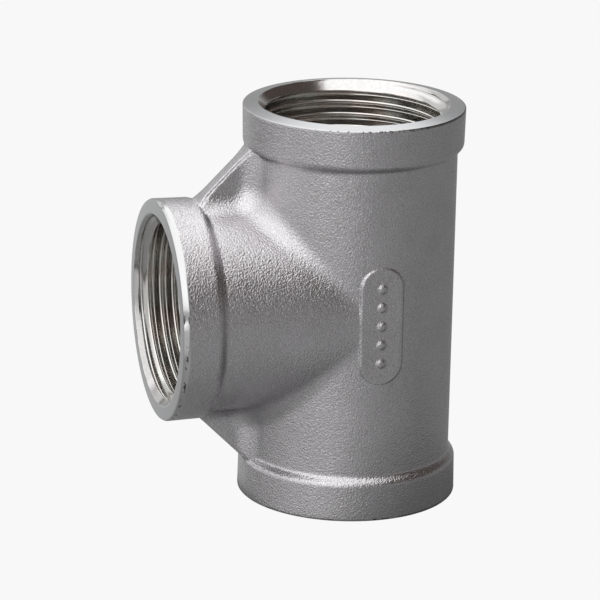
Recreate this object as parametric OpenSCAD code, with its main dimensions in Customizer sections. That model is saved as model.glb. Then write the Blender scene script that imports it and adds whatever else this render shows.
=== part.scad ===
// Equal tee, one stainless steel casting with an internally threaded port at each end.
// The run stands along Z and the branch points along -X.
// The origin is on the run's axis where the bottom port's countersink ends and its bore begins.
// The threads themselves are left off: each port has the bore at the crests of its thread.

/* [Size] */
// Distance from the crossing of the axes to the lip of each port
centre_to_end = 36; // [34:0.5:44]
// Outside diameter of the collars, at the end face
collar_d = 39.5; // [38.8:0.1:44]
// Length of a collar, from the lip to the middle of its shoulder
collar_len = 8; // [6:0.25:10]
// Draft of a collar in degrees, so that it narrows towards its shoulder
collar_draft = 1; // [0:0.1:2]
// Outside diameter of the run and of the branch between the collars
body_d = 37; // [35.6:0.1:37.6]

/* [Ports] */
// Diameter over the crests of the internal thread
thread_minor_d = 30.3; // [29:0.05:31.2]
// Depth from the lip to the end of the thread
thread_depth = 17; // [14:0.5:18.5]
// Diameter of the countersunk mouth at the lip
mouth_d = 33.6; // [32.4:0.1:35]
// Diameter of the cored waterway that joins the ports
waterway_d = 32; // [31.4:0.1:33]

/* [Edges] */
// How far the lip stands beyond the outer edge of the dished end face
face_dish = 0.4; // [0.1:0.05:0.8]
// Edge break around the end faces of the run
run_edge = 0.2; // [0.1:0.05:0.5]
// Radial width of the ground bevel around the branch's end face
branch_bevel_r = 0.5; // [0.2:0.05:0.8]
// Length of that bevel along the branch
branch_bevel_len = 1; // [0.4:0.1:1.6]
// Outer rounding of a collar's shoulder
shoulder_round = 1.2; // [0.6:0.1:1.6]
// Fillet at the foot of a collar's shoulder
shoulder_fillet = 0.6; // [0.3:0.1:1]

/* [Webs and saddle] */
// Thickness of the two webs that brace the branch
web_t = 4; // [2.8:0.1:5.2]
// How far a web's crest stands proud of the collars' corners
crest_rise = 0.75; // [0.3:0.05:1.2]
// Rounding along the crest's edges
crest_round = 0.6; // [0.3:0.05:1]
// Radius of the fillet between run, branch and webs
saddle_r = 3.5; // [2.5:0.1:4.5]

/* [Marking pad] */
// Width of the flat pad on the front of the run
pad_w = 8.2; // [6:0.1:10]
// Length of the pad along the run
pad_len = 21.5; // [14:0.5:28]
// How far the pad stands out from the run
pad_rise = 0.1; // [0.05:0.05:0.4]

/* [Hidden] */
$fn = 96;

body_r = body_d / 2;
collar_r = collar_d / 2;
// Middle and height of a shoulder
shoulder_u = centre_to_end - collar_len;
shoulder_h = collar_r - collar_len * tan(collar_draft) - body_r;
// Depth of the countersink, down to the thread's first crest
mouth_len = (mouth_d - thread_minor_d) / 2;

// The fillets sink this far into the walls, so that no surfaces touch without crossing
sink = 0.1;
// Place of the ball that touches the run, the branch and a web's side at once
ball_reach = body_r + saddle_r - sink;
ball_y = web_t / 2 + saddle_r;
ball_x = sqrt(pow(ball_reach, 2) - pow(ball_y, 2));
// Angle round the run at which the saddle fillet leaves the web, and at which it has shrunk into the walls
web_angle = asin(ball_y / ball_reach);
front_angle = 80;
// Sum of the two distances from the axes that every point of a crest has, and the same below its rounded edge
crest_sum = shoulder_u + collar_r + crest_rise;
flank_sum = crest_sum - crest_round * sqrt(2);
// The web's ends are buried in the collars and its back in the walls
web_end = crest_sum - collar_r + 0.5;
end_cap = 0.3;
skirt_depth = 0.5;
back_depth = 1.3;
// Steps of the crest's rounded edge, of the fillet beside the web, across the saddle and along it
edge_steps = 3;
side_steps = 5;
across_steps = 6;
along_steps = 14;

// Points of an arc about a centre, from one angle to another
function arc_points(c, r, a0, a1, steps) =
    [for (i = [0 : steps]) let (a = a0 + (a1 - a0) * i / steps) c + r * [cos(a), sin(a)]];

// Radius of the drafted collar at a distance u along its axis
function collar_side(u) = collar_r - (centre_to_end - u) * tan(collar_draft);

// Half outline of one arm as [radius, distance from the crossing], from the foot of the shoulder to the lip.
// edge is the bevel's [radial width, length] around the end face.
function arm_outline(edge) =
    let (
        slope = 45,
        foot_u = shoulder_u - shoulder_h / 2,
        foot_c = [body_r + shoulder_fillet, foot_u - shoulder_fillet * tan(slope / 2)],
        turn = slope - collar_draft,
        top_u = shoulder_u + shoulder_h / 2,
        top_r = collar_side(top_u),
        round_c = [top_r - shoulder_round / cos(collar_draft),
                   top_u + shoulder_round * tan(turn / 2)],
        face_u = centre_to_end - face_dish
    )
    concat(
        arc_points(foot_c, shoulder_fillet, 180, 180 - slope, 4),
        arc_points(round_c, shoulder_round, -slope, -collar_draft, 5),
        [
            [collar_side(face_u - edge[1]), face_u - edge[1]],
            [collar_r - edge[0], face_u],
            [mouth_d / 2, centre_to_end]
        ]
    );

function mirrored(points) = [for (i = [len(points) - 1 : -1 : 0]) [points[i][0], -points[i][1]]];

// Turned outside of the run, with a collar at each end
module run_outside() {
    arm = arm_outline([run_edge, run_edge]);
    rotate_extrude()
        polygon(concat([[0, -centre_to_end]], mirrored(arm), arm, [[0, centre_to_end]]));
}

// Turned outside of the branch, from the crossing outwards
module branch_outside() {
    rotate([0, -90, 0])
        rotate_extrude()
            polygon(concat(
                [[0, 0], [body_r, 0]],
                arm_outline([branch_bevel_r, branch_bevel_len]),
                [[0, centre_to_end]]
            ));
}

// Point of a fillet on a ball of radius saddle_r, at part t of the way between two directions
function ball_point(centre, from, to, t) =
    let (spread = acos(from * to))
    centre + saddle_r * (sin((1 - t) * spread) * from + sin(t * spread) * to) / sin(spread);

// A section of web or saddle is a ring of points on the side y < 0: buried end in the run's collar, top,
// across the corner to the branch, out, buried end in the branch's collar, and three points of the back
function with_back(front, a) =
    let (deep = body_r - back_depth, y = -deep * sin(a), x = deep * cos(a), cap = web_end + end_cap)
    concat(front, [[-cap, y, x], [-x, y, x], [-x, y, cap]]);

// Section along the crest's edge, where turn goes from 0 on the flat crest to 90 on the web's side
function crest_section(turn, back_angle) =
    let (
        y = -web_t / 2 + crest_round * (1 - sin(turn)),
        sum = crest_sum - crest_round * sqrt(2) * (1 - cos(turn)),
        cap = web_end + end_cap,
        across = sum - 2 * ball_x
    )
    with_back(concat(
        [[cap - sum, y, cap]],
        [for (i = [0 : across_steps + 2])
            let (x = ball_x + across * i / (across_steps + 2)) [-x, y, sum - x]],
        [[-cap, y, sum - cap]]
    ), back_angle);

// Section down the fillet beside the web, where turn goes from 0 at the web's side to 90 - web_angle at the walls
function side_section(turn, back_angle) =
    let (
        x = ball_x - saddle_r * sin(turn),
        y = -ball_y + saddle_r * cos(turn),
        top = min(web_end, flank_sum - x),
        cap = web_end + end_cap,
        cap_x = min(x, flank_sum - cap),
        to_run = [sin(turn), cos(turn), 0],
        to_branch = [0, cos(turn), -sin(turn)]
    )
    with_back(concat(
        [[-cap_x, y, cap], [-x, y, top]],
        [for (i = [0 : across_steps])
            ball_point([-ball_x, -ball_y, ball_x], to_run, to_branch, i / across_steps)],
        [[-top, y, x], [-cap, y, cap_x]]
    ), back_angle);

// Section across the saddle fillet at angle a round the run
function saddle_section(a) =
    let (
        buried = body_r - skirt_depth,
        x = buried * cos(a),
        y = -buried * sin(a),
        to_run = [cos(a), sin(a), 0],
        to_branch = [0, sin(a), -cos(a)]
    )
    with_back(concat(
        [[-x, y, web_end + end_cap], [-x, y, web_end]],
        [for (i = [0 : across_steps])
            ball_point(ball_reach * [-cos(a), -sin(a), cos(a)], to_run, to_branch, i / across_steps)],
        [[-web_end, y, x], [-web_end - end_cap, y, x]]
    ), a);

// All sections of one half, from the middle of the crest to the front of the run
function half_sections() =
    let (
        web_rows = edge_steps + side_steps + 1,
        first_turn = 6,
        last_turn = 90 - web_angle
    )
    concat(
        [for (i = [0 : edge_steps])
            crest_section(90 * i / edge_steps, web_angle * (i + 0.5) / web_rows)],
        [for (i = [0 : side_steps])
            side_section(first_turn + (last_turn - first_turn) * i / side_steps,
                         web_angle * (edge_steps + 1 + i + 0.5) / web_rows)],
        [for (i = [1 : along_steps])
            saddle_section(web_angle + (front_angle - web_angle) * i / along_steps)]
    );

// Web above the branch with the saddle fillet on both of its sides, lofted through all sections
module web_and_saddle() {
    half = half_sections();
    rings = concat(
        [for (i = [len(half) - 1 : -1 : 0]) [for (p = half[i]) [p[0], -p[1], p[2]]]],
        half
    );
    n = len(rings[0]);
    last_ring = (len(rings) - 1) * n;
    sides = [
        for (i = [0 : len(rings) - 2], j = [0 : n - 1])
            let (a = i * n + j, b = i * n + (j + 1) % n)
            each [[a, a + n, b], [b, a + n, b + n]]
    ];
    // The two end rings are closed by triangles about their inner corner
    corner = n - 2;
    start = [for (j = [0 : n - 1]) let (k = (j + 1) % n) if (j != corner && k != corner) [corner, j, k]];
    end = [for (t = start) [t[0] + last_ring, t[2] + last_ring, t[1] + last_ring]];
    polyhedron(points = [for (ring = rings) each ring], faces = concat(sides, start, end));
}

// Flat pad with round ends on the front of the run
module marking_pad() {
    straight = pad_len - pad_w;
    rotate([90, 0, 0])
        linear_extrude(body_r + pad_rise)
            union() {
                square([pad_w, straight], center = true);
                for (end = [-1, 1]) translate([0, end * straight / 2]) circle(d = pad_w);
            }
}

// Countersunk mouth and bore of one port, along +Z from the crossing
module port_bore() {
    over = 1;
    translate([0, 0, centre_to_end - thread_depth - over])
        cylinder(d = thread_minor_d, h = thread_depth + 2 * over);
    translate([0, 0, centre_to_end - mouth_len])
        cylinder(d1 = thread_minor_d, d2 = mouth_d + 2 * over, h = mouth_len + over);
}

module tee_casting() {
    to_port_end = centre_to_end - thread_depth;
    color("silver")
        translate([0, 0, centre_to_end - mouth_len])
            difference() {
                union() {
                    run_outside();
                    branch_outside();
                    web_and_saddle();
                    mirror([0, 0, 1]) web_and_saddle();
                    marking_pad();
                }
                translate([0, 0, -to_port_end]) cylinder(d = waterway_d, h = 2 * to_port_end);
                rotate([0, -90, 0]) cylinder(d = waterway_d, h = to_port_end);
                port_bore();
                rotate([180, 0, 0]) port_bore();
                rotate([0, -90, 0]) port_bore();
            }
}

tee_casting();
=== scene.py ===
import math

import bmesh
import bpy
import numpy as np
from mathutils import Matrix, Vector


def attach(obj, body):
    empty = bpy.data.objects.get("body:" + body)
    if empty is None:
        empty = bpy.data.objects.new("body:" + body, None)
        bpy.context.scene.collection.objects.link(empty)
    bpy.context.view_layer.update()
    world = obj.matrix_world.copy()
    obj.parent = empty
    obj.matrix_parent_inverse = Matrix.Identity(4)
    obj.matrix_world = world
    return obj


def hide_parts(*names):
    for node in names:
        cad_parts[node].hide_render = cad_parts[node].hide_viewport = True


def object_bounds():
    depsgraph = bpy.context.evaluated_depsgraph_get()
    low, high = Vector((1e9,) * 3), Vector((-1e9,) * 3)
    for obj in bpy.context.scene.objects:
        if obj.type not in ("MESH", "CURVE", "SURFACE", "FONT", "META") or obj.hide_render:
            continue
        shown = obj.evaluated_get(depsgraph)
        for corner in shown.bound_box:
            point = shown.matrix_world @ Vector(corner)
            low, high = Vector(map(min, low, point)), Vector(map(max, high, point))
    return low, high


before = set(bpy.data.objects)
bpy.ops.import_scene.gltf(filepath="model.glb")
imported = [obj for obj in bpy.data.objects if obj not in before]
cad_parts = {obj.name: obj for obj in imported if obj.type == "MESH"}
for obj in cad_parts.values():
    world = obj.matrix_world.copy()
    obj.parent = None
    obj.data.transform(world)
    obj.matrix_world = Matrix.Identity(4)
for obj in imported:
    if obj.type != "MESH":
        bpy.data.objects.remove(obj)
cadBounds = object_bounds()
print("frame loaded, the tee is", [round(1000 * (high - low), 1) for low, high in zip(*cadBounds)], "mm")

# The axes of the run and the branch cross this far above the frame's origin, in mm
crossingHeight = 34.35

shot = {
    "sensor": 36, "lens": 202.9,            # mm
    "place": (-173.71, -553.07, 180.33),    # from the crossing, mm
    "azimuth": -16.5558, "elevation": 17.3557, "roll": 1.1406,
    "clip": (0.01, 50),                     # m
}


def setCamera():
    azimuth, elevation, roll = (math.radians(shot[key]) for key in ("azimuth", "elevation", "roll"))
    back = Vector((math.sin(azimuth) * math.cos(elevation),
                   -math.cos(azimuth) * math.cos(elevation),
                   math.sin(elevation)))
    right = Vector((math.cos(azimuth), math.sin(azimuth), 0))
    up = back.cross(right)
    turnedRight = right * math.cos(roll) + up * math.sin(roll)
    turnedUp = up * math.cos(roll) - right * math.sin(roll)
    data = bpy.data.cameras.new("studioCamera")
    data.sensor_width = shot["sensor"]
    data.lens = shot["lens"]
    data.clip_start, data.clip_end = shot["clip"]
    camera = bpy.data.objects.new("studioCamera", data)
    x, y, z = shot["place"]
    place = Matrix.Translation(Vector((x, y, z + crossingHeight)) / 1000)
    camera.matrix_world = place @ Matrix((turnedRight, turnedUp, back)).transposed().to_4x4()
    bpy.context.collection.objects.link(camera)
    bpy.context.scene.camera = camera


setCamera()

# One arm of the tee is described in its own three lengths, in mm from the crossing:
# a towards the neighbouring arm, b sideways, u out along the arm itself.
casting = {
    "bodyRadius": 18.5, "collarRadius": 19.75, "reach": 36.0,
    "draft": 1.0, "shoulderSlope": 45,                  # degrees
    "faceDish": 0.4, "branchDish": 0.12,                # how far a lip stands beyond the rim of its end face
    "faceStart": 0.015, "faceRings": 6,
    "shoulderAt": 28.35, "collarLength": 8.0,
    "shoulderRound": 1.3, "roundSteps": 12, "shoulderFillet": 0.9, "filletSteps": 10,
    "outlineStart": -1.0, "outlineSamples": 1500,
    "saddleRadius": 4.6, "turnSteps": 6, "longestTurn": 0.3,
    "webHalf": 1.95, "crestSum": 48.36, "crestRound": 0.75, "webFillet": 3.4, "endFillet": 0.5,
    "seamDepth": 0.18, "seamHalf": 0.14,
    "rows": [(26.5, 22), (30.5, 18), (34.4, 5)],        # body, shoulder and collar: u at the end, and rows
    "frontColumns": 72, "backColumns": 40,
    "columnLength": 0.75, "columnBend": 11,             # mm and degrees that weigh as much as one column
    "samples": [(0, 3, 24), (3, 9, 200), (9, 26, 110), (26, 90, 110)],      # degrees from, to, and how many
    "search": (14.0, 30.0, 32),                         # radii between which the skin lies, and halvings
    "mergeWithin": 2e-7, "sharpAngle": 32,              # m and degrees
}
# Stands for a distance that is never the nearest
farAway = 99.0


def arcPoints(centre, radius, start, end, steps):
    angle = np.radians(np.linspace(start, end, steps + 1))
    return np.column_stack([centre[0] + radius * np.cos(angle), centre[1] + radius * np.sin(angle)])


def collarSide(u):
    return casting["collarRadius"] - (casting["reach"] - u) * math.tan(math.radians(casting["draft"]))


def armOutline():
    # radius against distance from the crossing, through the fillet and the rounding of the shoulder
    c = casting
    slope, fillet, rounding = c["shoulderSlope"], c["shoulderFillet"], c["shoulderRound"]
    height = c["collarRadius"] - c["collarLength"] * math.tan(math.radians(c["draft"])) - c["bodyRadius"]
    halfRun = height / math.tan(math.radians(slope)) / 2
    footU, topU = c["shoulderAt"] - halfRun, c["shoulderAt"] + halfRun
    foot = (c["bodyRadius"] + fillet, footU - fillet * math.tan(math.radians(slope / 2)))
    top = (collarSide(topU) - rounding, topU + rounding * math.tan(math.radians((slope - c["draft"]) / 2)))
    line = np.vstack([
        [[c["bodyRadius"], c["outlineStart"]]],
        arcPoints(foot, fillet, 180, 180 - slope, c["filletSteps"]),
        arcPoints(top, rounding, -slope, -c["draft"], c["roundSteps"]),
        [[collarSide(c["reach"]), c["reach"]]],
    ])
    return line[:, 1], line[:, 0]


outlineU, outlineR = armOutline()
slopeU = np.linspace(casting["outlineStart"], casting["reach"], casting["outlineSamples"])
slopeCos = 1 / np.hypot(1, np.gradient(np.interp(slopeU, outlineU, outlineR), slopeU))


def armDistance(radius, u):
    return (radius - np.interp(u, outlineU, outlineR)) * np.interp(u, slopeU, slopeCos)


def saddleDistance(a, b, u):
    # Distance inside a ball that rolls along both arms, and where that fillet counts.
    # The ball's angle round the arms comes from a few steps of Newton's method.
    c = casting
    reach = c["bodyRadius"] + c["saddleRadius"]
    both = a + u
    turn = np.arctan2(b, both / 2)
    for _ in range(c["turnSteps"]):
        sine, cosine = np.sin(turn), np.cos(turn)
        miss = both * sine - b * cosine - reach * sine * cosine
        slope = both * cosine + b * sine - reach * (cosine * cosine - sine * sine) + 1e-9
        turn = np.clip(turn - np.clip(miss / slope, -c["longestTurn"], c["longestTurn"]), 0, math.pi / 2)
    sine, cosine = np.sin(turn), np.cos(turn)
    da, db, du = a - reach * cosine, b - reach * sine, u - reach * cosine
    towardOwn, towardOther = -(da * cosine + db * sine), -(db * sine + du * cosine)
    shared = sine * sine
    between = (towardOwn > shared * towardOther) & (towardOther > shared * towardOwn) & (a > 0) & (u > 0)
    return c["saddleRadius"] - np.sqrt(da * da + db * db + du * du), between


def filleted(first, second, radius):
    return np.maximum(radius, np.minimum(first, second)) - np.hypot(
        np.maximum(radius - first, 0), np.maximum(radius - second, 0))


def crested(side, crest):
    # the web's crest with its rounded edge, and the fine seam that runs along the middle of that edge
    c = casting
    edge = c["crestRound"]
    out, up = np.maximum(side + edge, 0), np.maximum(crest + edge, 0)
    along = (np.arctan2(up, out) - math.pi / 4) * edge / c["seamHalf"]
    seam = np.where((out > 0) & (up > 0), c["seamDepth"] * np.exp(-along * along), 0)
    return np.minimum(-edge, np.maximum(side, crest)) + np.hypot(out, up) + seam


def skinDistance(a, b, u):
    # negative in the metal; the bores are left out
    c = casting
    near = a > 0
    walls = np.minimum(np.hypot(a, b), np.where(near, np.hypot(b, u), farAway)) - c["bodyRadius"]
    other = np.where(near, armDistance(np.hypot(b, u), np.maximum(a, 0)), farAway)
    arms = np.minimum(armDistance(np.hypot(a, b), u), other)
    fillet, between = saddleDistance(a, b, u)
    walls, arms = np.where(between, fillet, walls), np.where(between, fillet, arms)
    side, crest = b - c["webHalf"], (a + u - c["crestSum"]) / math.sqrt(2)
    web = crested(filleted(walls, side, c["webFillet"]), crest)
    ends = filleted(crested(side, crest), arms, c["endFillet"])
    return np.minimum(np.minimum(arms, web), ends)


def lastInside(isOutside, search, shape):
    # The farthest value in the metal, by halving the space between a value in it and one outside
    start, end, halvings = search
    low, high = np.full(shape, start), np.full(shape, end)
    for _ in range(halvings):
        middle = (low + high) / 2
        outside = isOutside(middle)
        high, low = np.where(outside, middle, high), np.where(outside, low, middle)
    return low


def rowPoints(offset, tilt, angle):
    # Where the bent plane u = offset + tilt * a meets the skin, in the directions angle round the arm
    def place(radius):
        a = radius * np.cos(angle)
        return a, radius * np.sin(angle), offset + tilt * np.maximum(a, 0)

    shape = np.broadcast(offset, angle).shape
    return np.stack(place(lastInside(lambda r: skinDistance(*place(r)) > 0, casting["search"], shape)), -1)


def spreadAngles(offset, tilt):
    # Angles of the columns of each row, closer together where the skin turns
    c = casting
    fullAngle = c["samples"][-1][1]
    dense = np.radians(np.concatenate(
        [np.linspace(start, end, count, endpoint=end == fullAngle) for start, end, count in c["samples"]]))
    step = np.diff(rowPoints(offset, tilt, dense[None, :]), axis=1)
    length = np.linalg.norm(step, axis=2)
    turned = np.linalg.norm(np.diff(step / length[..., None], axis=1), axis=2)
    bend = np.zeros(length.shape)
    bend[:, 1:] = np.degrees(2 * np.arcsin(np.clip(turned / 2, 0, 1)))
    weight = np.cumsum(length / c["columnLength"] + bend / c["columnBend"], axis=1)
    weight = np.concatenate([np.zeros((len(weight), 1)), weight], 1)
    share = np.linspace(0, 1, c["frontColumns"] + 1)
    return np.array([np.interp(share * w[-1], w, dense) for w in weight])


class Surface:
    # Vertices, faces and their finishes, gathered until the mesh is made
    def __init__(self):
        self.points, self.faces, self.finish = [], [], []
        self.count = 0

    def add(self, points):
        # the numbers of the new vertices come back in the same grid as the points
        self.points.append(np.asarray(points, float).reshape(-1, 3))
        first = self.count
        self.count += len(self.points[-1])
        return first + np.arange(len(self.points[-1])).reshape(np.shape(points)[:-1])

    def face(self, corners, finish):
        # a corner that repeats the one before it is dropped, and so is a face without three corners
        kept = [int(v) for i, v in enumerate(corners) if v != corners[i - 1]]
        if len(kept) > 2 and len(set(kept)) == len(kept):
            self.faces.append(kept)
            self.finish.append(finish)

    def quads(self, index, finish, loop=True):
        # index is a grid of vertex numbers, row by row; loop closes each row on itself
        if loop:
            index = np.concatenate([index, index[:, :1]], 1)
        corners = np.stack([index[:-1, :-1], index[:-1, 1:], index[1:, 1:], index[1:, :-1]], -1)
        for quad in corners.reshape(-1, 4).tolist():
            self.face(quad, finish)


castSkin, groundEdge, turnedFace, cutThread, coredWall = range(5)


def armRows():
    # The first row lies in the mitre between two arms; the rows straighten up to the first end in "rows"
    c = casting
    (bodyEnd, bodyRows), *others = c["rows"]
    level, tilt = bodyEnd * np.linspace(0, 1, bodyRows + 1), np.linspace(1, 0, bodyRows + 1)
    for end, count in others:
        level = np.concatenate([level, np.linspace(level[-1], end, count + 1)[1:]])
        tilt = np.concatenate([tilt, np.zeros(count)])
    offset, tilt = level[:, None], tilt[:, None]
    front = spreadAngles(offset, tilt)
    frontPoints = rowPoints(offset, tilt, front)
    shape = (len(level), c["backColumns"] + 1)
    back = np.broadcast_to(np.linspace(math.pi / 2, math.pi, shape[1]), shape)
    radius = np.interp(level, outlineU, outlineR)[:, None]
    backPoints = np.stack([radius * np.cos(back), radius * np.sin(back), np.broadcast_to(offset, shape)], -1)
    return front, frontPoints, back, backPoints


def mirrored(points):
    # the same columns on the other side of the arm, in the opposite order
    flipped = points[:, ::-1].copy()
    flipped[..., 1] *= -1
    return flipped


def armLoops():
    # Closed rows of points round an arm of the run and round the branch, each with the angles of its columns
    front, frontPoints, back, backPoints = armRows()
    half = np.concatenate([frontPoints[:, :-1], backPoints], 1)
    halfTurns = np.concatenate([front[:, :-1], back], 1)
    # the branch has an arm of the run on both sides
    lower = frontPoints[:, ::-1].copy()
    lower[..., 0] *= -1
    both = np.concatenate([frontPoints, lower[:, 1:]], 1)
    bothTurns = np.concatenate([front, (math.pi - front[:, ::-1])[:, 1:]], 1)
    return {
        kind: (np.concatenate([points[:, :-1], mirrored(points)[:, :-1]], 1),
               np.concatenate([turns[:, :-1], (2 * math.pi - turns[:, ::-1])[:, :-1]], 1))
        for kind, points, turns in (("run", half, halfTurns), ("branch", both, bothTurns))
    }


# What is ground or broken along the rim of each port: pairs of inset from the collar's side and distance
# from the plane of the rim's outer edge, from the side inwards
rims = {
    "run": [(0.0, 0.55), (0.0, 0.24), (0.03, 0.1), (0.12, 0.01), (0.24, -0.01)],
    "branch": [(0.0, 0.95), (0.05, 0.85), (0.44, 0.1), (0.5, 0.02), (0.6, -0.01)],
}
# The branch's bevel is widest on the side of the pad. Two nicks lie in it.
bevel = {
    "share": 0.38, "widest": 70, "spread": 42,      # share of the width elsewhere; degrees
    "nicks": [(78.5, 2.6, 0.7), (6, 2.2, 0.4)],     # angle and half width in degrees, depth in mm
    "dents": (0.0, 0.5, 1.0, 0.5, 0.1),             # how much of a nick's depth each ring of the rim gets
}


def bevelShares(turns):
    # share of the bevel's width at each angle round the branch, and how deep the nicks are there
    degrees = np.degrees(turns)
    away = (degrees - bevel["widest"]) / bevel["spread"]
    share = bevel["share"] + (1 - bevel["share"]) * np.exp(-away ** 2)
    nick = sum(depth * np.exp(-((degrees - at) / half) ** 2) for at, half, depth in bevel["nicks"])
    return share, nick


ports = {
    "mouthRadius": 17.1, "crestRadius": 15.15, "coreRadius": 16.0, "coreRows": 7,
    "pitch": 2.309, "rootDepth": 1.479, "threadEnd": 19.0, "runOut": 2.5,
    "threadRound": 0.317, "threadTurn": 62.5, "roundPoints": 6,
    "phases": {"top": 0.6, "bottom": 0.3, "branch": 1.76},      # u of a crest where the turn starts
    "leadInset": 0.06, "leadDepth": 0.03, "margin": 0.02,
}


def buildRim(surface, skinEdge, polar, turns, kind):
    # Ground or broken edge and turned end face, from the skin's last ring inwards to the lip
    c = casting
    faceU = c["reach"] - c["faceDish"]
    share, nick = bevelShares(turns) if kind == "branch" else (1.0, 0.0)
    edgeRings = []
    for (inset, back), dent in zip(rims[kind], bevel["dents"]):
        u = faceU - back * share
        edgeRings.append(polar(collarSide(u) - inset * share - nick * dent, turns, u))
    edge = np.concatenate([skinEdge[None], surface.add(np.stack(edgeRings))])
    surface.quads(edge[:3], castSkin if kind == "run" else groundEdge)
    surface.quads(edge[2:], groundEdge)
    outer, mouth = collarSide(faceU) - rims[kind][-1][0] * share, ports["mouthRadius"]
    dish, start = c["faceDish"] if kind == "run" else c["branchDish"], c["faceStart"]
    faceRings = [polar(outer + (mouth - outer) * s, turns, faceU + start + (dish - start) * s)
                 for s in np.linspace(0, 1, c["faceRings"] + 1)[1:]]
    face = np.concatenate([edge[-1:], surface.add(np.stack(faceRings))])
    surface.quads(face, turnedFace)
    return face[-1], faceU + dish


def buildLead(surface, lip, polar, turns, lipU):
    # Every second column goes on into the port, from a ring just inside the lip
    lead = surface.add(polar(ports["mouthRadius"] - ports["leadInset"], turns, lipU - ports["leadDepth"]))
    half = lip[::2]
    for i in range(len(half)):
        j = (i + 1) % len(half)
        surface.face([half[i], lip[2 * i + 1], lead[i]], cutThread)
        surface.face([lip[2 * i + 1], half[j], lead[j], lead[i]], cutThread)
    return lead


def threadTable():
    # One pitch of the thread as distances along it and depths under the crest: crest, flank, root, flank
    p = ports
    turn = np.radians(np.linspace(-p["threadTurn"], p["threadTurn"], p["roundPoints"]))
    along, rise = p["threadRound"] * np.sin(turn), p["threadRound"] * (1 - np.cos(turn))
    crest = np.column_stack([along, rise])
    root = np.column_stack([along + p["pitch"] / 2, p["rootDepth"] - rise])
    following = crest[0] + [p["pitch"], 0]
    thirds = np.array([[1 / 3], [2 / 3]])
    return np.vstack([crest, crest[-1] + (root[0] - crest[-1]) * thirds,
                      root, root[-1] + (following - root[-1]) * thirds])


def buildThread(surface, lead, polar, turns, lipU, phase):
    # Countersink, thread and run-out inwards from the lip, along rows that climb with the thread
    p = ports
    table = threadTable()
    perPitch = len(table)
    first = math.ceil((lipU - phase) / p["pitch"])
    pitches = first + 2 - math.floor((p["threadEnd"] - phase) / p["pitch"])
    inward = (np.arange(pitches)[:, None] * p["pitch"] + table[None, :, 0]).reshape(-1, 1)
    depth = np.tile(table[:, 1], pitches)[:, None]
    u = phase + first * p["pitch"] - inward + turns[None, :] / (2 * math.pi) * p["pitch"]
    fade = np.clip((u - p["threadEnd"]) / p["runOut"], 0, 1)
    radius = np.maximum(p["crestRadius"] + depth * fade, p["mouthRadius"] - (lipU - u))
    outer, inner = lipU - p["margin"], p["threadEnd"] + p["margin"]
    grid = surface.add(polar(radius, turns[None, :], u))
    endRing = surface.add(polar(p["crestRadius"], turns, p["threadEnd"]))
    # rows that climb past an end of the thread are gathered in its ring
    grid = np.where((u < outer) & (u > inner), grid, np.where(u >= outer, lead[None, :], endRing[None, :]))
    surface.quads(grid, cutThread, loop=False)
    # the last column joins the first one a whole turn further on
    following = np.concatenate([np.full(perPitch, lead[0]), grid[:-perPitch, 0]])
    surface.quads(np.stack([grid[:, -1], following], 1), cutThread, loop=False)
    return endRing


def buildWaterway(surface, endRing, polar, turns, kind):
    # Cored wall from the thread's end back to where the three cores cross
    p = ports
    core = p["coreRadius"]
    start = p["threadEnd"] - (core - p["crestRadius"])
    across = core * np.cos(turns)
    crossing = np.abs(across) if kind == "branch" else np.maximum(across, 0)
    levels = [polar(core, turns, start)]
    levels += [polar(core, turns, crossing + (start - crossing) * (1 - s))
               for s in np.linspace(0, 1, p["coreRows"])[1:]]
    surface.quads(np.concatenate([endRing[None], surface.add(np.stack(levels))]), coredWall)


def buildTee():
    surface, loops = Surface(), armLoops()
    # the kind of each port's arm, and the way from (a, b, u) to the world
    arms = {
        "top": ("run", lambda a, b, u: np.stack([-a, -b, u], -1)),
        "bottom": ("run", lambda a, b, u: np.stack([-a, -b, -u], -1)),
        "branch": ("branch", lambda a, b, u: np.stack([-u, -b, a], -1)),
    }
    for port, (kind, place) in arms.items():
        loop, allTurns = loops[kind]
        turns = allTurns[-1]

        def polar(radius, turn, u):
            radius, turn, u = np.broadcast_arrays(radius, turn, u)
            return place(radius * np.cos(turn), radius * np.sin(turn), u)

        skin = surface.add(place(loop[..., 0], loop[..., 1], loop[..., 2]))
        surface.quads(skin, castSkin)
        lip, lipU = buildRim(surface, skin[-1], polar, turns, kind)
        lead = buildLead(surface, lip, polar, turns[::2], lipU)
        endRing = buildThread(surface, lead, polar, turns[::2], lipU, ports["phases"][port])
        buildWaterway(surface, endRing, polar, turns[::2], kind)
    return surface


# The flat pad on the front of the run, with a row of plain round pips
pad = {
    "centre": (0.2, 0.1), "width": 7.8, "length": 21.3, "face": 18.6,
    "edge": 0.3, "sunk": 0.02,                  # half the width of the sloped edge, and its end in the metal
    "skirt": (0.05, 0.08), "buried": 17.4,      # the shell's side goes on into the metal
    "sideColumns": 14, "endColumns": 32, "edgeRings": 9, "faceInsets": (0.99, 0.7, 0.4, 0.2),
    "search": (17.0, 20.0, 28),
    "pips": 5, "pipSpacing": 3.4, "pipRadius": 1.05, "pipHeight": 0.34, "pipShape": 1.6, "pipFoot": 0.2,
    "pipColumns": 28, "pipRings": 9,
}


def skinLevel(x, z):
    # how far in front of the axes the skin lies at this place of the run
    return lastInside(lambda y: skinDistance(-x, y, np.abs(z)) > 0, pad["search"], np.shape(x))


def smoothStep(t):
    t = np.clip(t, 0, 1)
    return t * t * (3 - 2 * t)


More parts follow.
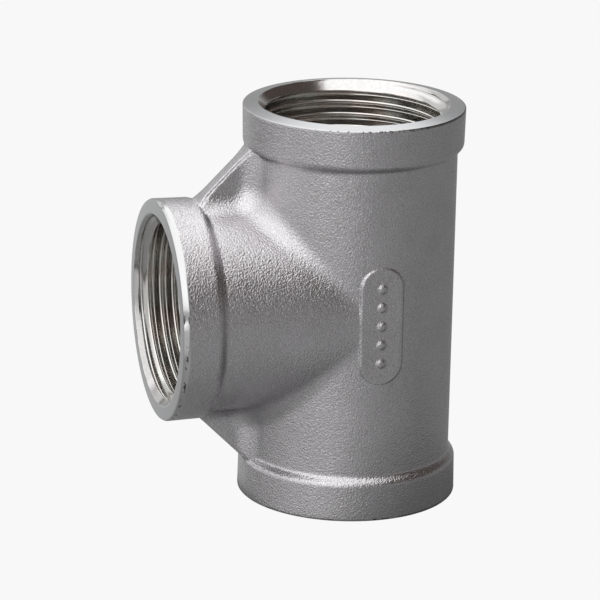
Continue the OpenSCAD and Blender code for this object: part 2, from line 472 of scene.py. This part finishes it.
def stadium(offset):
    # points round the pad's outline, moved out by the offset, from the middle of its right side
    radius, straight = pad["width"] / 2 + offset, (pad["length"] - pad["width"]) / 2
    up = np.linspace(0, straight, pad["sideColumns"], endpoint=False)
    turn = np.linspace(0, math.pi, pad["endColumns"] + 1)
    x = np.concatenate([np.full(len(up), radius), radius * np.cos(turn), np.full(len(up) - 1, -radius)])
    z = np.concatenate([up, straight + radius * np.sin(turn), up[:0:-1]])
    x, z = np.concatenate([x, -x]), np.concatenate([z, -z])
    return pad["centre"][0] + x, pad["centre"][1] + z


def buildPad(surface):
    edge, sunk, face = pad["edge"], pad["sunk"], pad["face"]
    rings = []
    for inset in pad["faceInsets"]:
        x, z = stadium(-pad["width"] / 2 * inset)
        rings.append(np.stack([x, np.full(len(x), -face), z], -1))
    for offset in np.linspace(-edge, edge, pad["edgeRings"]):
        x, z = stadium(offset)
        skin = skinLevel(x, z)
        share = smoothStep(0.5 - offset / (2 * edge))
        rings.append(np.stack([x, -(skin - sunk + (face - skin + sunk) * share), z], -1))
    out, under = pad["skirt"]
    x, z = stadium(edge + out)
    rings.append(np.stack([x, under - skinLevel(x, z), z], -1))
    rings.append(np.stack([x, np.full(len(x), -pad["buried"]), z], -1))
    surface.quads(surface.add(np.stack(rings)), castSkin)
    for ring in (rings[0], rings[-1]):
        # the two ends of the shell are closed across the middle
        index = surface.add(ring)
        for i in range(len(index) // 2):
            surface.face(list(dict.fromkeys(index[[i, i + 1, -i - 1, -i]].tolist())), castSkin)


def buildPips(surface):
    columns = pad["pipColumns"]
    turn = np.linspace(0, 2 * math.pi, columns, endpoint=False)[None, :]
    share = np.linspace(0, 1, pad["pipRings"])[:, None]
    radius = pad["pipRadius"] * np.vstack([share, [[1.0]]])
    height = np.vstack([pad["pipHeight"] * (1 - smoothStep(share ** pad["pipShape"])), [[-pad["pipFoot"]]]])
    for i in range(pad["pips"]):
        x = pad["centre"][0] + radius * np.cos(turn)
        z = pad["centre"][1] + (i - (pad["pips"] - 1) / 2) * pad["pipSpacing"] + radius * np.sin(turn)
        y = np.broadcast_to(-pad["face"] - height, x.shape)
        index = surface.add(np.stack([x, y, z], -1))
        surface.quads(index[1:], castSkin)
        for k in range(columns):
            surface.face([index[0, 0], index[1, k], index[1, (k + 1) % columns]], castSkin)
        surface.face(index[-1][::-1], castSkin)


def makeMesh(name, surface):
    points = (np.concatenate(surface.points) + [0, 0, crossingHeight]) / 1000
    mesh = bpy.data.meshes.new(name)
    mesh.from_pydata(points.tolist(), [], surface.faces)
    mesh.polygons.foreach_set("material_index", surface.finish)
    bm = bmesh.new()
    bm.from_mesh(mesh)
    bmesh.ops.delete(bm, geom=[v for v in bm.verts if not v.link_faces], context="VERTS")
    bmesh.ops.remove_doubles(bm, verts=bm.verts, dist=casting["mergeWithin"])
    bmesh.ops.recalc_face_normals(bm, faces=bm.faces)
    openEdges = sum(1 for edge in bm.edges if len(edge.link_faces) != 2)
    bm.to_mesh(mesh)
    bm.free()
    mesh.polygons.foreach_set("use_smooth", [True] * len(mesh.polygons))
    mesh.set_sharp_from_angle(angle=math.radians(casting["sharpAngle"]))
    mesh.update()
    print(name, len(mesh.polygons), "faces,", openEdges, "edges that don't join two faces")
    piece = bpy.data.objects.new(name, mesh)
    bpy.context.collection.objects.link(piece)
    return piece


teeSurface = buildTee()
buildPad(teeSurface)
buildPips(teeSurface)
teeBody = makeMesh("teeBody", teeSurface)


class Wire:
    # A socket that can be added to, multiplied and so on; each step adds its Math node
    def __init__(self, finish, socket):
        self.finish, self.socket = finish, socket

    def math(self, operation, *values):
        return self.finish.node("ShaderNodeMath", {"operation": operation}, dict(enumerate(values)))

    def size(self):
        return self.math("ABSOLUTE", self)

    def atLeast(self, other):
        return self.math("MAXIMUM", self, other)

    def __add__(self, other):
        return self.math("ADD", self, other)

    def __radd__(self, other):
        return self.math("ADD", other, self)

    def __sub__(self, other):
        return self.math("SUBTRACT", self, other)

    def __rsub__(self, other):
        return self.math("SUBTRACT", other, self)

    def __mul__(self, other):
        return self.math("MULTIPLY", self, other)

    def __rmul__(self, other):
        return self.math("MULTIPLY", other, self)

    def between(self, low, high):
        # 0 at low, 1 at high, smooth on the way
        return self.finish.node("ShaderNodeMapRange", {"interpolation_type": "SMOOTHSTEP"},
                                {"Value": self, "From Min": low, "From Max": high})


class Finish:
    # The nodes of a material, or of the world
    def __init__(self, owner):
        self.tree = owner.node_tree
        self.tree.nodes.clear()

    def node(self, kind, settings, inputs, output=0):
        made = self.tree.nodes.new(kind)
        for key, value in settings.items():
            setattr(made, key, value)
        for key, value in inputs.items():
            if isinstance(value, Wire):
                self.tree.links.new(value.socket, made.inputs[key])
            else:
                made.inputs[key].default_value = value
        return Wire(self, made.outputs[output]) if len(made.outputs) else None

    def place(self, kind="Object"):
        return self.node("ShaderNodeTexCoord", {}, {}, kind)

    def parts(self, place):
        # x, y and z of a place, in mm
        split = self.node("ShaderNodeSeparateXYZ", {}, {0: place})
        return [1000 * Wire(self, output) for output in split.socket.node.outputs]

    def blend(self, amount, first, second):
        return self.node("ShaderNodeMix", {"data_type": "RGBA"}, {0: amount, 6: first, 7: second}, 2)

    def noise(self, place, scale, detail, roughness):
        return self.node("ShaderNodeTexNoise", {},
                         {"Vector": place, "Scale": scale, "Detail": detail, "Roughness": roughness})

    def bump(self, strength, depth, height):
        return self.node("ShaderNodeBump", {}, {"Strength": strength, "Distance": depth, "Height": height})

    def metal(self, colour, roughness, normal):
        shader = self.node("ShaderNodeBsdfPrincipled", {}, {
            "Base Color": colour, "Roughness": roughness, "Metallic": 1.0, "Normal": normal})
        self.node("ShaderNodeOutputMaterial", {}, {"Surface": shader})


def newFinish(name):
    material = bpy.data.materials.new(name)
    material.use_nodes = True
    return material, Finish(material)


def inFromLip(x, z, branchShift):
    # how far inwards from the nearest lip a place lies, in mm
    return casting["reach"] - (z - crossingHeight).size().atLeast(branchShift - x)


# Pits, and a dark line where the ground rims meet the cast skin, in mm: the pits are real marks, while the
# line, which grows solid towards the right, is painted shade in that edge. On the branch the bevel is
# longer.
pitsAndEdgeShade = {
    "line": (0.12, 0.32, 0.5, 0.85),        # in from the lip: where the line starts, is full, fades and ends
    "branchShift": 0.5,
    "rightward": (0.954, -0.3),             # direction in which the marks grow, as x and y
    # real pits are spotted from "spotted" on towards the right; from "solid" on the painted shade line is
    # full
    "spotted": (-10, 4), "solid": (7, 15), "solidShare": 0.8,
    "branchUpTo": (30, 37), "branchFrom": (30, 32),
    "grain": (1500, 2.0, 0.6), "threshold": (0.53, 0.6),
    "colour": (0.09, 0.08, 0.075, 1),
}


# Mask of the real pits and of the painted shade line along the edge of each rim
def pitsWithShadeLine(f, place):
    x, y, z = f.parts(place)
    below = inFromLip(x, z, pitsAndEdgeShade["branchShift"])
    first, full, last, end = pitsAndEdgeShade["line"]
    # the band along the edge, in from the lip, that holds the pits and the painted shade
    line = below.between(first, full) * (1 - below.between(last, end))
    across, deep = pitsAndEdgeShade["rightward"]
    right = across * x + deep * y
    branch = (1 - z.between(*pitsAndEdgeShade["branchUpTo"])) * (0 - x).between(*pitsAndEdgeShade["branchFrom"])
    grains = f.noise(place, *pitsAndEdgeShade["grain"]).between(*pitsAndEdgeShade["threshold"])
    spotted = grains * (right.between(*pitsAndEdgeShade["spotted"]) + branch)
    # the real pits, or the solid painted edge shade where that is stronger
    return line * spotted.atLeast(pitsAndEdgeShade["solidShare"] * right.between(*pitsAndEdgeShade["solid"]))


# In all finishes noise is scale, detail and roughness, bump is strength and depth in m, and roughness is
# its least value and how much the noise adds
blastedCasting = {
    "grain": (3100, 2.0, 0.55), "cloud": (90, 3.0, 0.6), "speck": (5200, 1.0, 0.5),
    "cloudShare": 0.25, "contrast": (0.3, 0.7),
    "dark": (0.477, 0.465, 0.474, 1), "light": (0.684, 0.67, 0.688, 1),
    "roughness": (0.16, 0.05), "bump": (1.0, 0.00013),
}


def castFinish():
    look = blastedCasting
    material, f = newFinish("blastedCasting")
    place = f.place()
    cloud, pitsAndShade = f.noise(place, *look["cloud"]), pitsWithShadeLine(f, place)
    clouds = cloud.between(*look["contrast"])
    specks = f.noise(place, *look["speck"]).between(*look["contrast"])
    share, (least, added) = look["cloudShare"], look["roughness"]
    tone = f.blend(share * clouds + (1 - share) * specks, look["dark"], look["light"])
    bump = f.bump(*look["bump"], f.noise(place, *look["grain"]) - pitsAndShade)
    # the pits and the painted edge shade darken the colour and sink the bump
    f.metal(f.blend(pitsAndShade, tone, pitsAndEdgeShade["colour"]), least + added * cloud, bump)
    return material


groundRim = {
    "grain": (2500, 2.0, 0.5), "colour": (0.6, 0.6, 0.605, 1),
    "roughness": (0.18, 0.08), "bump": (0.2, 0.00003),
}


def groundFinish():
    look = groundRim
    material, f = newFinish("groundEdge")
    place = f.place()
    grain, pitsAndShade = f.noise(place, *look["grain"]), pitsWithShadeLine(f, place)
    least, added = look["roughness"]
    # the pits and the painted edge shade darken the colour and sink the bump
    f.metal(f.blend(pitsAndShade, look["colour"], pitsAndEdgeShade["colour"]), least + added * grain,
            f.bump(*look["bump"], grain - pitsAndShade))
    return material


# The turned end faces and the cored wall have one colour each
plainLooks = {
    "turnedFace": {"grain": (1800, 2.0, 0.5), "colour": (0.51, 0.515, 0.525, 1),
                   "roughness": (0.17, 0.06), "bump": (0.15, 0.00003)},
    "coredWall": {"grain": (1500, 3.0, 0.5), "colour": (0.36, 0.34, 0.33, 1),
                  "roughness": (0.5, 0.1), "bump": (0.5, 0.0001)},
}


def plainFinish(name):
    look = plainLooks[name]
    material, f = newFinish(name)
    grain = f.noise(f.place(), *look["grain"])
    least, added = look["roughness"]
    f.metal(look["colour"], least + added * grain, f.bump(*look["bump"], grain))
    return material


brightThread = {
    "grain": (1500, 3.0, 0.5), "stain": (160, 2.0, 0.5),
    "mouthColours": ((0.62, 0.61, 0.60, 1), (0.67, 0.66, 0.655, 1)), "mouthContrast": (0.35, 0.7),
    "threadColours": ((0.70, 0.65, 0.62, 1), (0.74, 0.74, 0.71, 1)), "threadContrast": (0.4, 0.6),
    "threadFrom": (1.2, 2.2),               # mm in from the lip
    "roughness": (0.11, 0.08), "bump": (0.2, 0.00004),
}


def threadFinish():
    look = brightThread
    material, f = newFinish("cutThread")
    place = f.place()
    grain, stain = f.noise(place, *look["grain"]), f.noise(place, *look["stain"])
    x, _, z = f.parts(place)
    mouth = f.blend(grain.between(*look["mouthContrast"]), *look["mouthColours"])
    thread = f.blend(stain.between(*look["threadContrast"]), *look["threadColours"])
    least, added = look["roughness"]
    f.metal(f.blend(inFromLip(x, z, 0).between(*look["threadFrom"]), mouth, thread), least + added * grain,
            f.bump(*look["bump"], grain))
    return material


# in the order of castSkin, groundEdge and so on
finishes = [
    castFinish(), groundFinish(), plainFinish("turnedFace"), threadFinish(), plainFinish("coredWall"),
]
for material in finishes:
    teeBody.data.materials.append(material)
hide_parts("tee_casting")
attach(teeBody, "root")
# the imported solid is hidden, but it gets the casting's finish as well
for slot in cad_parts["tee_casting"].material_slots:
    slot.material = teeBody.data.materials[castSkin]
print("tee built")

studio = {"backdrop": 0.939, "floorHalf": 3.0, "fill": 0.25, "overhead": 1.55}
# A softbox is bounded by planes through the tee. Each edge names a direction on the lit side and where,
# as the cosine from that direction, the light starts and is full. The overhead light covers the others.
overhead = [
    ((-1, 0.25, 0.45), -0.07, 0.07), ((1, 0, 1.0), -0.15, 0.15), ((0, 1, 0.97), -0.08, 0.08),
    ((0, -1, 1.87), -0.06, 0.06), ((1, -0.5, 0.6), -0.5, -0.02),
]
leftSides = [((-0.97, 0.26, 0), -0.1, 0.1), ((-0.77, -0.64, 0), -0.1, 0.1)]
screenTilt = (-0.41, -0.25, 0.875)
leftScreen = (screenTilt, -0.03, 0.03)
softboxes = {
    "leftLow": (0.36, [leftScreen] + leftSides),
    "leftMid": (0.35, [((0, 0, 1), -0.1, 0.12)] + leftSides),
    "leftHigh": (0.19, [((0, 0, 1), 0.1, 0.3)] + leftSides),
    "frontLeftUp": (0.47, [((-0.492, -0.587, 0.643), 0.8, 0.95)]),
    "backLeft": (0.38, [leftScreen, ((-0.337, 0.925, 0.174), 0.8, 0.92)]),
    "back": (0.16, [((0.086, 0.981, 0.174), 0.75, 0.9)]),
    "behindLow": (0.22, [((-0.33, 0.91, -0.26), 0.93, 0.985)]),
    "belowFront": (0.12, [((-0.242, -0.665, -0.707), 0.8, 0.95)]),
    "front": (0.06, [((0.25, -0.933, -0.259), 0.75, 0.92)]),
    "frontUp": (0.04, [((0.133, -0.754, 0.643), 0.85, 0.97)]),
}
# Up on the right the room is dark
darkRight = {
    "depth": 0.65, "tint": (1, 0.8, 0.72, 1),
    "edges": [((0.98, -0.17, 0), 0.3, 0.5), ((0, 0, 1), 0.15, 0.35)],
}
# The dark edge of the table shows as a thin line under the left screen
tableEdge = {"centre": -0.052, "half": 0.03, "depth": 0.85, "left": [((-1, 0, 0), 0.0, 0.3)]}

# The table is darker round the tee's foot, in mm, and more so on the side away from the left screen. Only
# reflections show it.
contactShade = {
    "centre": (18, -16), "half": 50, "start": 38, "full": 14, "depth": 0.5, "glow": 0.03,
    "foot": (19.7, 23.0), "footDepth": 0.7,
}


def flatSquare(name, x, y, half, level):
    # a level square that belongs to the studio, not to the tee
    mesh = bpy.data.meshes.new(name)
    corners = [(x - half, y - half), (x + half, y - half), (x + half, y + half), (x - half, y + half)]
    mesh.from_pydata([(*corner, level) for corner in corners], [], [(0, 1, 2, 3)])
    square = bpy.data.objects.new(name, mesh)
    bpy.context.collection.objects.link(square)
    square.visible_diffuse = square.visible_shadow = False
    material, f = newFinish(name)
    mesh.materials.append(material)
    return square, f


def buildFloor(level):
    floor, f = flatSquare("studioFloor", 0, 0, studio["floorHalf"], level)
    floor.visible_glossy = False
    glow = f.node("ShaderNodeEmission", {}, {"Color": (1, 1, 1, 1), "Strength": studio["backdrop"]})
    f.node("ShaderNodeOutputMaterial", {}, {"Surface": glow})


def buildContactShade(level):
    c = contactShade
    x, y = (0.001 * value for value in c["centre"])
    shade, f = flatSquare("contactShade", x, y, 0.001 * c["half"], level)
    shade.visible_camera = False
    place = f.place()

    def distance(x, y):
        ends = {0: place, 1: (x, y, level)}
        return 1000 * f.node("ShaderNodeVectorMath", {"operation": "DISTANCE"}, ends, "Value")

    wide = (1 - distance(x, y).between(c["full"], c["start"])) * c["depth"]
    foot = (1 - distance(0, 0).between(*c["foot"])) * c["footDepth"]
    clear = f.node("ShaderNodeBsdfTransparent", {}, {})
    dark = f.node("ShaderNodeEmission", {}, {"Color": (1, 1, 1, 1), "Strength": c["glow"]})
    mixed = f.node("ShaderNodeMixShader", {}, {0: wide.atLeast(foot), 1: clear, 2: dark})
    f.node("ShaderNodeOutputMaterial", {}, {"Surface": mixed})


def buildLight():
    world = bpy.data.worlds.new("studioLight")
    bpy.context.scene.world = world
    world.use_nodes = True
    f = Finish(world)
    toward = f.place("Generated")

    def facing(direction):
        unit = Vector(direction).normalized()
        return f.node("ShaderNodeVectorMath", {"operation": "DOT_PRODUCT"}, {0: toward, 1: unit}, "Value")

    def bounded(edges):
        lit = 1.0
        for direction, start, full in edges:
            lit = facing(direction).between(start, full) * lit
        return lit

    light = studio["fill"]
    for strength, edges in softboxes.values():
        light = light + strength * bounded(edges)
    dark = bounded(darkRight["edges"])
    light = light * (1 - darkRight["depth"] * dark)
    above = bounded(overhead)
    light = light * (1 - above) + studio["overhead"] * above
    height, half = facing(screenTilt) - tableEdge["centre"], tableEdge["half"]
    line = height.between(-half, -half / 2) * (1 - height.between(half / 2, half))
    light = light * (1 - tableEdge["depth"] * line * bounded(tableEdge["left"]))
    tint = f.blend(dark * (1 - above), (1, 1, 1, 1), darkRight["tint"])
    sky = f.node("ShaderNodeBackground", {}, {"Color": tint, "Strength": light})
    f.node("ShaderNodeOutputWorld", {}, {"Surface": sky})


bpy.context.scene.view_settings.view_transform = "Standard"
buildFloor(cadBounds[0].z)
buildContactShade(cadBounds[0].z)
buildLight()
print("studio set")
